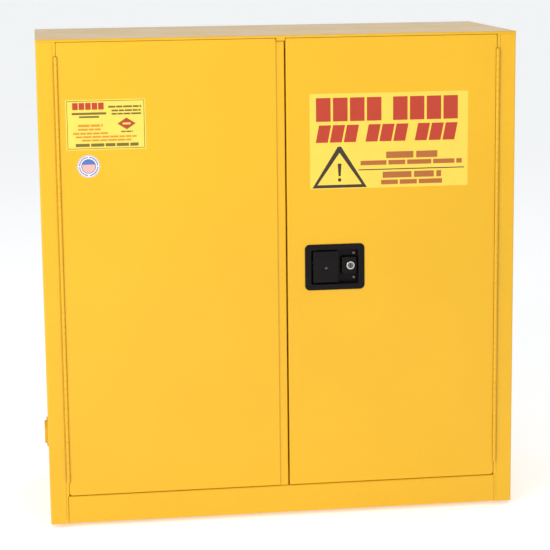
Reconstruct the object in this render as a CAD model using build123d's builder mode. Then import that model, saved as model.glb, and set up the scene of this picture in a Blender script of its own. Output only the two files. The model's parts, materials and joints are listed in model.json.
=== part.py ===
from build123d import *
from math import radians, tan
import os

# Two-door, double-walled safety cabinet for flammable liquids.
# Millimetres. +X is to the right seen from the front, +Y to the back, +Z up. The origin is on the floor
# at the centre of the footprint, and the doors face -Y.

# Cabinet body
WIDTH = 1092.2
DEPTH = 457.2
HEIGHT = 1117.6
SHEET = 1.2  # 18 gauge steel
AIR_GAP = 38.1  # between the outer and the inner wall
BEND = 3.0  # centre-line radius of an ordinary fold
TOP_BEND = 5.0  # the softer fold along the top's front edge
STILE = 36.6  # front face of each outer side skin
JAMB_FACE = 41.7  # from the cabinet's side to the door opening
DOOR_PROUD = 2.0  # the doors' faces stand this far in front of the frame
BASE_RAISE = 8.0  # outer bottom above the floor

# Planes and levels that the pieces share
SIDE = WIDTH / 2
FRONT = -DEPTH / 2  # face of both doors
FRAME_FACE = FRONT + DOOR_PROUD
BACK = DEPTH / 2
WALL = SHEET + AIR_GAP + SHEET
INSIDE_X = SIDE - WALL
INSIDE_BACK = BACK - WALL
INSIDE_TOP = HEIGHT - WALL
OUTER_BOTTOM_TOP = BASE_RAISE + SHEET
FLOOR_TOP = BASE_RAISE + WALL
TOP_UNDERSIDE = HEIGHT - SHEET
OPENING_X = SIDE - JAMB_FACE
RAIL_X = OPENING_X - 0.4  # the sill and the header fit between the jambs

# Rebate round the opening: the doors' outer skins lap it, the liners go in behind it
REBATE_FRONT = FRONT + 17.6
REBATE_BACK = FRONT + 42.6
SILL_FACE_TOP = 65.5
SILL_LEDGE = 99.3
HEADER_LEDGE = 1088.0
TOP_BAND = 5.8  # height of the top panel's front edge

# Doors
DOOR_BOTTOM_GAP = 1.8
DOOR_BOTTOM = SILL_FACE_TOP + DOOR_BOTTOM_GAP
DOOR_TOP_GAP = 0.7
DOOR_TOP = HEIGHT - TOP_BAND - DOOR_TOP_GAP
SKIN_DEPTH = 14.0
DOOR_THICK = 40.0
LINER_BOTTOM = 102.5
LINER_TOP = 1085.0
DOOR_CORNER = 7.0
DOOR_FOLD = 2.4
LEFT_FACE_END = -9.0  # free edge of the left door's face
STRIP_END = 9.8  # free edge of the astragal strip
STRIP_STEP = 3.2  # the strip lies this far behind the left door's face
STRIP_TOP = 1104.0
STRIP_BOTTOM = SILL_FACE_TOP + 1.2
STRIP_LAP = 13.0  # how far the strip reaches behind the left door's face
RIGHT_FACE_START = 12.7
SKIN_BACK = FRONT + SKIN_DEPTH
LINER_BACK = FRONT + DOOR_THICK
LINER_INNER = LINER_BACK - SHEET

# Piano hinges
KNUCKLE_R = 4.0
PIN_R = 1.6
PIN_FIT = 0.06
LEAF = 1.1
HINGE_INSET = 43.1  # from the cabinet's side to the pin
LEAF_SETBACK = 1.4  # from the pin to the face that each leaf is fixed to
HINGE_X = SIDE - HINGE_INSET
HINGE_Y = FRONT - 1.0
HINGE_END_COVER = 0.6  # the jamb's face reaches this close to the pin's line above and below the hinge
HINGE_BOTTOM = 100.5
HINGE_TOP = 1079.0
KNUCKLES = 19
KNUCKLE_GAP = 0.5
LEAF_DEPTH = 26.0
DOOR_EDGE = HINGE_X - LEAF_SETBACK
KNUCKLE_ROOM = KNUCKLE_R + 0.5

# Bolts and latch, inside the doors
ROD_R = 5.0
ROD_Y = FRONT + 29.1
ROD_FIT = 0.1
STRIKE_R = ROD_R + 0.8
UPPER_ROD_X = 54.0
LOWER_ROD_X = 22.0
CAM_X = (UPPER_ROD_X + LOWER_ROD_X) / 2
CAM_Z = 584.0
CAM_PIN_R = 2.5
CAM_THROW = UPPER_ROD_X - CAM_X
BOLT_THROW = 18.0
CAM_BACK = LINER_INNER - 1.6
CAM_PLATE = 3.0
PIN_PLAY = 0.6
FOOT_PLATE = 4.0
ROD_TOP = 1086.5
ROD_FOOT = 101.5
CENTRE_BOLT_Z = CAM_Z + BOLT_THROW
LEFT_BOLT_X = -40.0
LEFT_BOLT_LENGTH = 126.0
LEFT_BOLT_TRAVEL = 14.0
LEFT_KNOB_FROM_END = 100.0

# Recessed latch on the right door
LATCH_X = 122.0
LATCH_Z = 584.0
LATCH_WIDE = 139.0
LATCH_HIGH = 107.0
LATCH_FLANGE = 2.0
LATCH_CORNER = 11.0
DISH_WIDE = 110.3
DISH_HIGH = 80.7
DISH_DEPTH = 18.0
DISH_WALL = 1.5
DISH_CORNER = 5.0
PADDLE_LEFT = 71.7
PADDLE_RIGHT = 131.2
PADDLE_LOW = 547.5
PADDLE_HIGH = 620.5
PADDLE_THICK = 2.5
PADDLE_PIVOT_X = 76.0
PADDLE_PIVOT_Y = FRONT + 5.6
PADDLE_PIN_R = 2.5
DIMPLE = (21.0, 10.0, 1.4)  # length, height and depth of the lens-shaped dent in the paddle
DIMPLE_X = 102.0
DIMPLE_Z = 581.0
LOCK_X = 159.9
LOCK_Z = 585.2
LOCK_R = 9.5
PLUG_R = 7.0
PLATFORM = (34.3, 39.2, 12.4)  # width and height of its top, and how far it stands off the dish's floor
PLATFORM_SLOPE = 12.0
PLATFORM_X = LOCK_X - 2.7
PLATFORM_CORNER = 7.5
RIM_EASE = 0.8
RIVET_R = 1.6
THROUGH = 40.0  # longer than anything that a hole through the latch has to clear
RIVETS = ((169.9, 612.2), (169.9, 555.0))

# Labels: left, bottom, width, height
WARNING = (66.0, 765.5, 368.0, 218.5)
RATING = (-484.0, 870.0, 178.0, 113.0)
STICKER = (-436.0, 833.2, 25.5)
LABEL = 0.2

# Inside
SHELF_TOP = 566.0
SHELF_LIP = 26.0
SHELF_FRONT = -168.0
SHELF_X = INSIDE_X - 6.2
STANDARD_Y = 128.0
STANDARD = (4.0, 22.0)
STANDARD_LOW = 112.0
STANDARD_HIGH = 1052.0
SLOT_PITCH = 57.15

# Vents, feet and ground stud
VENT_LOW = 160.0
VENT_HIGH = 960.0
VENT_FLANGE_R = 36.0
VENT_FLANGE = 3.0
PIPE_R = 30.0
PIPE_BORE = 26.5
CAP_R = 28.0
CAP_HEAD = 4.9
FOOT_X = 470.0
FOOT_Y = 165.0
FOOT_R = 16.0
FOOT_LIFT = 1.0
FOOT_PAD = 5.0
FOOT_STUD_R = 4.76
FOOT_STUD_TOP = 42.0
STUD_Y = 150.0
STUD_Z = 70.0
STUD_R = 3.175
STUD_SHOULDER_R = STUD_R + 0.35
STUD_HOLE_R = STUD_SHOULDER_R + 0.1
STUD_NUT = 5.0
STUD_FREE = 9.0

FORWARD = (0, -1, 0)
BACKWARD = (0, 1, 0)


def block(low, high, mode=Mode.ADD):
    """A square-edged block from its low corner to its high corner."""
    size = [b - a for a, b in zip(low, high)]
    with Locations(tuple((a + b) / 2 for a, b in zip(low, high))):
        Box(*size, mode=mode)


def bar(start, direction, radius, length, mode=Mode.ADD):
    """A round bar, or a round hole, that starts at a point and runs one way."""
    with Locations(Plane(start, z_dir=direction).location):
        Cylinder(radius, length, align=(Align.CENTER, Align.CENTER, Align.MIN), mode=mode)


def folded(plane, points, length, radius=BEND):
    """A folded sheet: the centre line of its section on a plane, drawn out square to the plane."""
    with BuildSketch(plane) as section:
        with BuildLine():
            FilletPolyline(*points, radius=radius)
        trace(line_width=SHEET)
    extrude(section.sketch, amount=length)


def mirrored(source):
    """The same piece for the other side of the cabinet."""
    with BuildPart() as other:
        mirror(source.part, about=Plane.YZ)
    return other


# --- Outer shell ---------------------------------------------------------------------------------


def make_outer_side():
    """Left side skin: front stile, side and back flange in one folded sheet."""
    out = -SIDE + SHEET / 2
    face = FRAME_FACE + SHEET / 2
    rear = BACK - 1.5 * SHEET
    stile_top = HEIGHT - TOP_BAND - 0.2
    with BuildPart() as side:
        section = [(-SIDE + STILE, face), (out, face), (out, rear), (-SIDE + 16, rear)]
        folded(Plane.XY, section, stile_top)
        block((-SIDE, FRAME_FACE + 8, stile_top), (-SIDE + SHEET, rear - BEND, TOP_UNDERSIDE))
    return side


def drill_sides(side, vent_z):
    """The vent's hole through a side skin."""
    with BuildPart() as drilled:
        add(side.part)
        bar((-SIDE - 1, 0, vent_z), (1, 0, 0), PIPE_R, 10, Mode.SUBTRACT)
    return drilled


def make_outer_back():
    with BuildPart() as back:
        block((-SIDE, BACK - SHEET, 0), (SIDE, BACK, TOP_UNDERSIDE))
    return back


def make_outer_top():
    """Top panel, folded down at the front, with a small tab that fills in above the astragal."""
    face = FRAME_FACE - SHEET / 2
    level = HEIGHT - SHEET / 2
    with BuildPart() as top:
        section = [(face, HEIGHT - TOP_BAND), (face, level), (BACK, level)]
        folded(Plane.YZ.offset(-SIDE), section, WIDTH, TOP_BEND)
        block(
            (LEFT_FACE_END + 1, FRAME_FACE - SHEET, STRIP_TOP + 1.5),
            (RIGHT_FACE_START - 1, FRAME_FACE, HEIGHT - TOP_BAND + 0.2),
        )
    return top


def make_outer_bottom():
    with BuildPart() as bottom:
        block(
            (-SIDE + SHEET, FRAME_FACE + 5, BASE_RAISE),
            (SIDE - SHEET, BACK - 7, OUTER_BOTTOM_TOP),
        )
        with Locations((0, 0, OUTER_BOTTOM_TOP)):
            with GridLocations(2 * FOOT_X, 2 * FOOT_Y, 2, 2):
                Hole(FOOT_STUD_R + 0.6, SHEET)
    return bottom


# --- Inner shell ---------------------------------------------------------------------------------


def make_inner_side(vent_z):
    with BuildPart() as side:
        block((-INSIDE_X - SHEET, REBATE_BACK, FLOOR_TOP), (-INSIDE_X, INSIDE_BACK, INSIDE_TOP))
        bar((-SIDE, 0, vent_z), (1, 0, 0), PIPE_R, 2 * WALL, Mode.SUBTRACT)
    return side


def make_inner_plate(low_z):
    """Inner floor or inner top."""
    with BuildPart() as plate:
        block(
            (-INSIDE_X - SHEET, REBATE_BACK, low_z),
            (INSIDE_X + SHEET, INSIDE_BACK, low_z + SHEET),
        )
    return plate


def make_inner_back():
    with BuildPart() as back:
        block(
            (-INSIDE_X - SHEET, INSIDE_BACK, FLOOR_TOP - SHEET),
            (INSIDE_X + SHEET, INSIDE_BACK + SHEET, INSIDE_TOP + SHEET),
        )
    return back


def make_wall_spacers():
    """Short lengths of square tube that hold the two walls apart."""
    tube = 30.0
    wall = 2.0
    with BuildPart() as spacers:
        for side in (-1, 1):
            middle = side * (SIDE - WALL / 2)
            with Locations((middle, 0, HEIGHT / 2)):
                with Locations(*[(0, y, z) for y in (-140, 150) for z in (-400, 0, 400)]):
                    Box(AIR_GAP, tube, tube)
                    Box(AIR_GAP - 2 * wall, tube, tube - 2 * wall, mode=Mode.SUBTRACT)
        with Locations((0, BACK - WALL / 2, HEIGHT / 2)):
            with Locations(*[(x, 0, z) for x in (-330, 0, 330) for z in (-400, 0, 400)]):
                Box(tube, AIR_GAP, tube)
                Box(tube, AIR_GAP - 2 * wall, tube - 2 * wall, mode=Mode.SUBTRACT)
        for middle in (OUTER_BOTTOM_TOP + AIR_GAP / 2, INSIDE_TOP + SHEET + AIR_GAP / 2):
            with Locations(*[(x, y, middle) for x in (-300, 0, 300) for y in (-120, 120)]):
                Box(tube, tube, AIR_GAP)
                Box(tube, tube - 2 * wall, AIR_GAP - 2 * wall, mode=Mode.SUBTRACT)
    return spacers


# --- Front frame ---------------------------------------------------------------------------------


def make_jamb():
    """Left jamb: a narrow face beside the stile and a return that the hinge leaf lies on."""
    turn = -SIDE + JAMB_FACE - SHEET / 2
    face = FRAME_FACE + SHEET / 2
    top = HEIGHT - TOP_BAND - 0.2
    with BuildPart() as jamb:
        section = [(-SIDE + STILE + 0.4, face), (turn, face), (turn, REBATE_BACK - 0.2)]
        folded(Plane.XY, section, top, radius=1.5)
        for low, high in ((SILL_FACE_TOP + 0.3, HINGE_BOTTOM), (HINGE_TOP, top)):
            block((turn - 2, FRAME_FACE, low), (-HINGE_X + HINGE_END_COVER, FRAME_FACE + SHEET, high))
        block(
            (-HINGE_X - KNUCKLE_ROOM, FRAME_FACE - 1, HINGE_BOTTOM - 1),
            (-HINGE_X + KNUCKLE_ROOM, HINGE_Y + KNUCKLE_ROOM, HINGE_TOP + 1),
            Mode.SUBTRACT,
        )
        block((-SIDE, FRAME_FACE + 2.6, 0), (0, 0, OUTER_BOTTOM_TOP + 0.2), Mode.SUBTRACT)
    return jamb


def strike_holes(z):
    """Holes that the doors' bolts shoot into."""
    for x in (UPPER_ROD_X if z > CAM_Z else LOWER_ROD_X, LEFT_BOLT_X):
        bar((x, ROD_Y, z - 10), (0, 0, 1), STRIKE_R, 20, Mode.SUBTRACT)


def make_header():
    """Channel over the doors: riser, ledge with the strike holes, and a leg down to the inner top."""
    front = REBATE_FRONT + SHEET / 2
    rear = REBATE_BACK - SHEET / 2
    ledge = HEADER_LEDGE + SHEET / 2
    with BuildPart() as header:
        section = [(front, TOP_UNDERSIDE), (front, ledge), (rear, ledge), (rear, INSIDE_TOP)]
        folded(Plane.YZ.offset(-RAIL_X), section, 2 * RAIL_X)
        strike_holes(HEADER_LEDGE)
    return header


def make_sill():
    """Stepped leak-proof sill: face under the doors, ledge behind them, dam down to the sump."""
    face = FRAME_FACE + SHEET / 2
    front = REBATE_FRONT + SHEET / 2
    rear = REBATE_BACK - SHEET / 2
    with BuildPart() as sill:
        section = [
            (face + 26, SHEET / 2),
            (face, SHEET / 2),
            (face, SILL_FACE_TOP - SHEET / 2),
            (front, SILL_FACE_TOP - SHEET / 2),
            (front, SILL_LEDGE - SHEET / 2),
            (rear, SILL_LEDGE - SHEET / 2),
            (rear, FLOOR_TOP),
        ]
        folded(Plane.YZ.offset(-RAIL_X), section, 2 * RAIL_X)
        strike_holes(SILL_LEDGE)
    return sill


# --- Piano hinges --------------------------------------------------------------------------------

KNUCKLE_PITCH = (HINGE_TOP - HINGE_BOTTOM) / KNUCKLES


def make_hinge_leaf(leaf_near, first):
    """One leaf of the left hinge: a flat strip, and every second knuckle from the first one on."""
    strip_y = HINGE_Y + KNUCKLE_R + 0.4
    with BuildPart() as leaf:
        block(
            (-HINGE_X + leaf_near, strip_y, HINGE_BOTTOM),
            (-HINGE_X + leaf_near + LEAF, HINGE_Y + LEAF_DEPTH, HINGE_TOP),
        )
        for i in range(first, KNUCKLES, 2):
            low = HINGE_BOTTOM + i * KNUCKLE_PITCH + KNUCKLE_GAP / 2
            long = KNUCKLE_PITCH - KNUCKLE_GAP
            bar((-HINGE_X, HINGE_Y, low), (0, 0, 1), KNUCKLE_R, long)
            block(
                (-HINGE_X + leaf_near, HINGE_Y + 2, low),
                (-HINGE_X + leaf_near + LEAF, strip_y + 0.2, low + long),
            )
        bar((-HINGE_X, HINGE_Y, 0), (0, 0, 1), PIN_R + PIN_FIT, HEIGHT, Mode.SUBTRACT)
    return leaf


def make_hinge_pins():
    with BuildPart() as pins:
        for x in (-HINGE_X, HINGE_X):
            bar((x, HINGE_Y, HINGE_BOTTOM), (0, 0, 1), PIN_R, HINGE_TOP - HINGE_BOTTOM)
    return pins


# --- Doors ---------------------------------------------------------------------------------------


def door_plate(left, right, near, depth):
    """A plate of a door's outline, with its rounded bottom corners."""
    middle = ((left + right) / 2, (DOOR_BOTTOM + DOOR_TOP) / 2)
    with BuildSketch(Plane.XZ.offset(-near)) as outline:
        with Locations(middle):
            Rectangle(right - left, DOOR_TOP - DOOR_BOTTOM)
        fillet(vertices().group_by(Axis.Y)[0].sort_by(Axis.X)[0], DOOR_CORNER)
        fillet(vertices().group_by(Axis.Y)[-1], DOOR_FOLD + 1)
    extrude(outline.sketch, amount=-depth)


def make_door_skin(left, right):
    """Outer skin: a shallow pan with rolled front edges."""
    with BuildPart() as skin:
        door_plate(left, right, FRONT, SKIN_DEPTH)
        fillet(faces().sort_by(Axis.Y)[0].edges(), DOOR_FOLD)
        offset(amount=-SHEET, openings=faces().sort_by(Axis.Y)[-1])
    return skin


def hinge_relief():
    """Room for the hinge's knuckles along the left door's hinge edge."""
    block(
        (-HINGE_X, HINGE_Y - 1, HINGE_BOTTOM - 1),
        (-HINGE_X + KNUCKLE_ROOM, HINGE_Y + KNUCKLE_ROOM, HINGE_TOP + 1),
        Mode.SUBTRACT,
    )


def make_liner(left, right, tray_left, tray_right):
    """Inner liner: a flange that backs the skin's rim, and a tray that goes into the opening."""
    with BuildPart() as liner:
        door_plate(left, right, SKIN_BACK, SHEET)
        block((tray_left, SKIN_BACK, LINER_BOTTOM), (tray_right, LINER_BACK, LINER_TOP))
        fillet(edges().filter_by(Axis.Y).group_by(Axis.Y)[-1], 4)
        block(
            (tray_left + SHEET, SKIN_BACK - 1, LINER_BOTTOM + SHEET),
            (tray_right - SHEET, LINER_INNER, LINER_TOP - SHEET),
            Mode.SUBTRACT,
        )
    return liner


def make_left_skin():
    pan = make_door_skin(-DOOR_EDGE, LEFT_FACE_END)
    with BuildPart() as skin:
        add(pan.part)
        hinge_relief()
        block(
            (LEFT_FACE_END - STRIP_LAP - 0.2, FRONT + STRIP_STEP, DOOR_BOTTOM - 1),
            (LEFT_FACE_END + 1, SKIN_BACK + 1, DOOR_TOP + 1),
            Mode.SUBTRACT,
        )
    return skin


def make_left_liner():
    pan = make_liner(-DOOR_EDGE, STRIP_END, -DOOR_EDGE, STRIP_END - 1.4)
    with BuildPart() as liner:
        add(pan.part)
        block(
            (LEFT_FACE_END - 1.5, SKIN_BACK - 1, STRIP_TOP),
            (STRIP_END + 1, SKIN_BACK + SHEET, DOOR_TOP + 1),
            Mode.SUBTRACT,
        )
        for z in (LINER_TOP, LINER_BOTTOM):
            bar((LEFT_BOLT_X, ROD_Y, z - 5), (0, 0, 1), STRIKE_R, 10, Mode.SUBTRACT)
        block(
            (0, ROD_Y - FOOT_PLATE / 2 - 1, CENTRE_BOLT_Z - 8),
            (STRIP_END, ROD_Y + FOOT_PLATE / 2 + 1, CENTRE_BOLT_Z + 8),
            Mode.SUBTRACT,
        )
        for low in (left_knob_z(True) - 5, left_knob_z(False) - LEFT_BOLT_TRAVEL - 5):
            block(
                (LEFT_BOLT_X - 4.6, LINER_INNER - 1, low),
                (LEFT_BOLT_X + 4.6, LINER_BACK + 1, low + LEFT_BOLT_TRAVEL + 10),
                Mode.SUBTRACT,
            )
    return liner


def make_astragal():
    """Strip along the left door's free edge, stepped back behind its face."""
    face = FRONT + STRIP_STEP + SHEET / 2
    edge = STRIP_END - SHEET / 2
    with BuildPart() as strip:
        section = [(LEFT_FACE_END - STRIP_LAP, face), (edge, face), (edge, SKIN_BACK)]
        folded(Plane.XY.offset(STRIP_BOTTOM), section, STRIP_TOP - STRIP_BOTTOM, radius=2)
        for low in (STRIP_BOTTOM, STRIP_TOP - SHEET):
            block((LEFT_FACE_END, face, low), (edge, SKIN_BACK, low + SHEET))
    return strip


def make_right_skin():
    pan = make_door_skin(-DOOR_EDGE, -RIGHT_FACE_START)
    with BuildPart() as skin:
        add(pan.part)
        hinge_relief()
        half_wide = DISH_WIDE / 2 + DISH_WALL + 0.3
        half_high = DISH_HIGH / 2 + DISH_WALL + 0.3
        block(
            (-LATCH_X - half_wide, FRONT - 1, LATCH_Z - half_high),
            (-LATCH_X + half_wide, FRONT + 6, LATCH_Z + half_high),
            Mode.SUBTRACT,
        )
    return mirrored(skin)


def make_right_liner():
    tray = RIGHT_FACE_START + 1.3
    pan = make_liner(-DOOR_EDGE, -RIGHT_FACE_START, -DOOR_EDGE, -tray)
    with BuildPart() as liner:
        mirror(pan.part, about=Plane.YZ)
        bar((UPPER_ROD_X, ROD_Y, LINER_TOP - 5), (0, 0, 1), STRIKE_R, 10, Mode.SUBTRACT)
        bar((LOWER_ROD_X, ROD_Y, LINER_BOTTOM - 5), (0, 0, 1), STRIKE_R, 10, Mode.SUBTRACT)
        block(
            (tray - 1, ROD_Y - FOOT_PLATE / 2 - 1, CENTRE_BOLT_Z - 8),
            (tray + SHEET + 1, ROD_Y + FOOT_PLATE / 2 + 1, CENTRE_BOLT_Z + 8),
            Mode.SUBTRACT,
        )
    return liner


# --- Flush bolts of the left door ----------------------------------------------------------------


def left_knob_z(upper):
    """Height of a flush bolt's knob, withdrawn."""
    if upper:
        return LINER_TOP - 1 - LEFT_KNOB_FROM_END
    return LINER_BOTTOM + 1 + LEFT_KNOB_FROM_END


def make_left_bolt(upper):
    start, up = (LINER_TOP - 1, -1) if upper else (LINER_BOTTOM + 1, 1)
    with BuildPart() as bolt:
        bar((LEFT_BOLT_X, ROD_Y, start), (0, 0, up), ROD_R, LEFT_BOLT_LENGTH)
        chamfer(edges().filter_by(GeomType.CIRCLE).sort_by(Axis.Z)[-1 if upper else 0], 1.5)
        knob_z = left_knob_z(upper)
        bar((LEFT_BOLT_X, ROD_Y, knob_z), BACKWARD, 3.5, LINER_BACK - ROD_Y + 6)
        bar((LEFT_BOLT_X, LINER_BACK + 2.5, knob_z), BACKWARD, 7.5, 10)
        fillet(faces().sort_by(Axis.Y)[-1].edges(), 2)
    return bolt


def guide(x, low, length, radius=ROD_R + ROD_FIT):
    """Bored block on the liner that a rod slides in."""
    half = 6.4
    block((x - half, ROD_Y - 9, low), (x + half, LINER_INNER, low + length))
    bar((x, ROD_Y, low - 1), (0, 0, 1), radius, length + 2, Mode.SUBTRACT)


def make_left_guides():
    with BuildPart() as guides:
        for low in (LINER_TOP - 30, LINER_TOP - 80, LINER_BOTTOM + 14, LINER_BOTTOM + 64):
            guide(LEFT_BOLT_X, low, 16)
    return guides


# --- Latch of the right door ---------------------------------------------------------------------


def make_latch_housing():
    """Black dish with a flat flange, and a raised platform that carries the lock."""
    dish = Plane.XZ.offset(-FRONT)
    floor_y = FRONT + DISH_DEPTH
    outer = (DISH_WIDE + 2 * DISH_WALL, DISH_HIGH + 2 * DISH_WALL)
    with BuildPart() as housing:
        with BuildSketch(dish):
            with Locations((LATCH_X, LATCH_Z)):
                RectangleRounded(LATCH_WIDE, LATCH_HIGH, LATCH_CORNER)
        extrude(amount=LATCH_FLANGE)
        fillet(faces().sort_by(Axis.Y)[0].edges(), 1.2)
        with BuildSketch(dish):
            with Locations((LATCH_X, LATCH_Z)):
                RectangleRounded(*outer, DISH_CORNER + DISH_WALL)
        extrude(amount=-DISH_DEPTH - DISH_WALL)
        with BuildSketch(dish.offset(LATCH_FLANGE)):
            with Locations((LATCH_X, LATCH_Z)):
                RectangleRounded(DISH_WIDE, DISH_HIGH, DISH_CORNER)
        extrude(amount=-DISH_DEPTH - LATCH_FLANGE, mode=Mode.SUBTRACT)
        fillet(faces().sort_by(Axis.Y)[0].inner_wires()[0].edges(), RIM_EASE)
        flare = 2 * PLATFORM[2] * tan(radians(PLATFORM_SLOPE))
        with BuildSketch(Plane.XZ.offset(-floor_y)):
            with Locations((PLATFORM_X, LOCK_Z)):
                RectangleRounded(PLATFORM[0] + flare, PLATFORM[1] + flare, PLATFORM_CORNER)
        extrude(amount=PLATFORM[2], taper=PLATFORM_SLOPE)
        top_y = floor_y - PLATFORM[2]
        platform_face = faces().filter_by(Axis.Y).filter_by_position(Axis.Y, top_y - 0.1, top_y + 0.1)
        fillet(platform_face.edges(), 1.5)
        bar((LOCK_X, FRONT, LOCK_Z), BACKWARD, LOCK_R, THROUGH, Mode.SUBTRACT)
        block(
            (PADDLE_PIVOT_X - 4, floor_y - 1, LATCH_Z - 10),
            (PADDLE_PIVOT_X + 12, floor_y + 4, LATCH_Z + 10),
            Mode.SUBTRACT,
        )
        pin_low = LATCH_Z - LATCH_HIGH / 2
        bar((PADDLE_PIVOT_X, PADDLE_PIVOT_Y, pin_low), (0, 0, 1), PADDLE_PIN_R, LATCH_HIGH, Mode.SUBTRACT)
        for x, z in RIVETS:
            bar((x, FRONT, z), BACKWARD, RIVET_R, THROUGH, Mode.SUBTRACT)
    return housing


def make_rivets():
    floor_y = FRONT + DISH_DEPTH
    with BuildPart() as rivets:
        for x, z in RIVETS:
            bar((x, floor_y, z), FORWARD, 3.4, 1.6)
            bar((x, floor_y, z), BACKWARD, RIVET_R, 3)
        fillet(faces().filter_by(Axis.Y).group_by(Axis.Y)[0].edges(), 1.0)
    return rivets


def make_paddle():
    """Pull paddle: a plate with a curled pulling edge, three lugs on the pin and a tongue to the cam."""
    face = FRONT - 1.2
    lugs = ((PADDLE_LOW + 5, 18), (LATCH_Z - 7, 14), (PADDLE_HIGH - 17, 12))
    with BuildPart() as paddle:
        with BuildSketch(Plane.XZ.offset(-face)):
            with Locations(((PADDLE_LEFT + PADDLE_RIGHT) / 2, (PADDLE_LOW + PADDLE_HIGH) / 2)):
                RectangleRounded(PADDLE_RIGHT - PADDLE_LEFT, PADDLE_HIGH - PADDLE_LOW, 3.5)
        extrude(amount=-PADDLE_THICK)
        block(
            (PADDLE_RIGHT - PADDLE_THICK, face, PADDLE_LOW + 4),
            (PADDLE_RIGHT, face + 9.5, PADDLE_HIGH - 4),
        )
        fillet(edges().filter_by(Axis.Z).group_by(Axis.Y)[0].sort_by(Axis.X)[-1], 2)
        long, high, deep = DIMPLE
        barrel = ((high / 2) ** 2 + deep**2) / (2 * deep)
        axis_y = face + deep - barrel
        left, right = DIMPLE_X - long / 2, DIMPLE_X + long / 2
        with BuildSketch(Plane.XY.offset(DIMPLE_Z)):
            with BuildLine():
                ThreePointArc((left, face), (DIMPLE_X, face + deep), (right, face))
                Polyline((right, face), (right, axis_y), (left, axis_y), (left, face))
            make_face()
        revolve(axis=Axis((DIMPLE_X, axis_y, DIMPLE_Z), (1, 0, 0)), mode=Mode.SUBTRACT)
        for low, tall in lugs:
            bar((PADDLE_PIVOT_X, PADDLE_PIVOT_Y, low), (0, 0, 1), 4.2, tall)
            block(
                (PADDLE_PIVOT_X - 3, face + 1, low),
                (PADDLE_PIVOT_X + 3, PADDLE_PIVOT_Y, low + tall),
            )
        block(
            (PADDLE_PIVOT_X - 1.5, PADDLE_PIVOT_Y, LATCH_Z - 7),
            (PADDLE_PIVOT_X + 1.5, PADDLE_PIVOT_Y + 21, LATCH_Z + 7),
        )
        bar(
            (PADDLE_PIVOT_X, PADDLE_PIVOT_Y, PADDLE_LOW - 1),
            (0, 0, 1),
            PADDLE_PIN_R + PIN_FIT,
            PADDLE_HIGH - PADDLE_LOW + 2,
            Mode.SUBTRACT,
        )
        bar((115, face, 612), FORWARD, 2.6, 0.8)
    return paddle


def make_paddle_pin():
    reach = DISH_HIGH / 2 + DISH_WALL
    with BuildPart() as pin:
        bar((PADDLE_PIVOT_X, PADDLE_PIVOT_Y, LATCH_Z - reach), (0, 0, 1), PADDLE_PIN_R, 2 * reach)
    return pin


def make_paddle_spring():
    """Envelope of the torsion coil round the paddle's pin."""
    with BuildPart() as spring:
        bar((PADDLE_PIVOT_X, PADDLE_PIVOT_Y, LATCH_Z + 8), (0, 0, 1), 3.8, 10)
        bar((PADDLE_PIVOT_X, PADDLE_PIVOT_Y, LATCH_Z + 7), (0, 0, 1), 2.9, 12, Mode.SUBTRACT)
    return spring


def make_lock_barrel():
    with BuildPart() as barrel:
        bar((LOCK_X, FRONT + 3.4, LOCK_Z), BACKWARD, LOCK_R, 20)
        bar((LOCK_X, FRONT + 3, LOCK_Z), BACKWARD, PLUG_R + PIN_FIT, 22, Mode.SUBTRACT)
        fillet(faces().sort_by(Axis.Y)[0].edges().sort_by(SortBy.LENGTH)[-1], 1.0)
    return barrel


def make_lock_plug():
    """Keyed plug with the pawl on its back end."""
    nose = FRONT + 3.0
    tail = FRONT + 26.0
    with BuildPart() as plug:
        bar((LOCK_X, nose, LOCK_Z), BACKWARD, PLUG_R, tail - nose)
        block((LOCK_X - 1, nose - 1, LOCK_Z - 4.5), (LOCK_X + 1, nose + 9, LOCK_Z + 4.5), Mode.SUBTRACT)
        block((LOCK_X - 4, tail, LOCK_Z - 5), (LOCK_X + 24, tail + 2.5, LOCK_Z + 5))
    return plug


def make_cam():
    """Cam with three pins: two for the rods and one, on an arm, for the centre bolt."""
    front = CAM_BACK - CAM_PLATE
    with BuildPart() as cam:
        with BuildSketch(Plane.XZ.offset(-CAM_BACK)):
            with Locations((CAM_X, CAM_Z)):
                Circle(CAM_THROW + 3)
                with Locations((0, BOLT_THROW / 2)):
                    Rectangle(10, BOLT_THROW)
                with Locations((0, BOLT_THROW)):
                    Circle(5)
                Circle(4.1, mode=Mode.SUBTRACT)
        extrude(amount=CAM_PLATE)
        for x, z in ((CAM_THROW, 0), (-CAM_THROW, 0), (0, BOLT_THROW)):
            bar((CAM_X + x, front + 0.5, CAM_Z + z), FORWARD, CAM_PIN_R, 10)
    return cam


def make_cam_pivot():
    front = CAM_BACK - CAM_PLATE - 0.3
    with BuildPart() as pivot:
        bar((CAM_X, LINER_INNER, CAM_Z), FORWARD, 6.5, 1.3)
        bar((CAM_X, LINER_INNER, CAM_Z), FORWARD, 4.0, LINER_INNER - front)
        bar((CAM_X, front, CAM_Z), FORWARD, 5.5, 1.6)
    return pivot


def foot_plate(left, right, low, high):
    """Flat end of a rod, in the plane of the cam's pins."""
    block((left, ROD_Y - FOOT_PLATE / 2, low), (right, ROD_Y + FOOT_PLATE / 2, high))


def cam_slot(x, shift):
    """Cross slot for a cam pin that swings sideways as it rises or falls."""
    half = CAM_PIN_R + PIN_PLAY
    near, far = sorted((x, x + shift))
    block(
        (near - half, ROD_Y - 5, CAM_Z - half),
        (far + half, ROD_Y + 5, CAM_Z + half),
        Mode.SUBTRACT,
    )


SIDE_SWING = 3.1  # how far a rod's pin moves sideways over the cam's turn


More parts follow.
